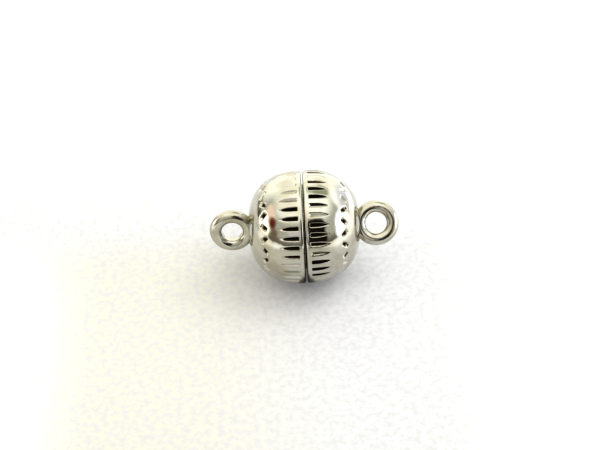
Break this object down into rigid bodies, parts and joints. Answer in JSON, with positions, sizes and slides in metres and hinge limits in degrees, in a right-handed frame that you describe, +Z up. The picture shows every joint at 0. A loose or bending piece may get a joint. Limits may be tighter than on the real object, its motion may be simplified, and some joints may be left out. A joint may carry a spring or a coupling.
{
  "type": "round magnetic clasp",
  "caption": "Ball-shaped magnetic jewellery clasp whose engraved metal halves meet at a seam, turn on each other and pull straight apart, with a soldered loop on each end.",
  "frame": {"origin": "centre of the ball, on the long axis in the middle of the seam", "axes": "+X along the long axis towards the right loop, +Z up, the ball lying on its belt at Z = -4 mm"},
  "size_m": [0.0134, 0.008, 0.008],
  "materials": {
    "silver_plate": "bright polished silver plate over brass",
    "magnet_plate": "plain bright nickel plate over a sintered magnet"
  },
  "bodies": {
    "left": {"left_half": "silver_plate"},
    "left_disc": {"left_magnet": "magnet_plate"},
    "right": {"right_half": "silver_plate", "right_magnet": "magnet_plate"}
  },
  "joints": [
    {"name": "turn", "type": "hinge", "parent": "left", "child": "left_disc", "pos_m": [0, 0, 0], "axis": [1, 0, 0], "continuous": true},
    {"name": "pull_apart", "type": "slide", "parent": "left_disc", "child": "right", "axis": [1, 0, 0], "range_m": [0, 0.01]}
  ]
}
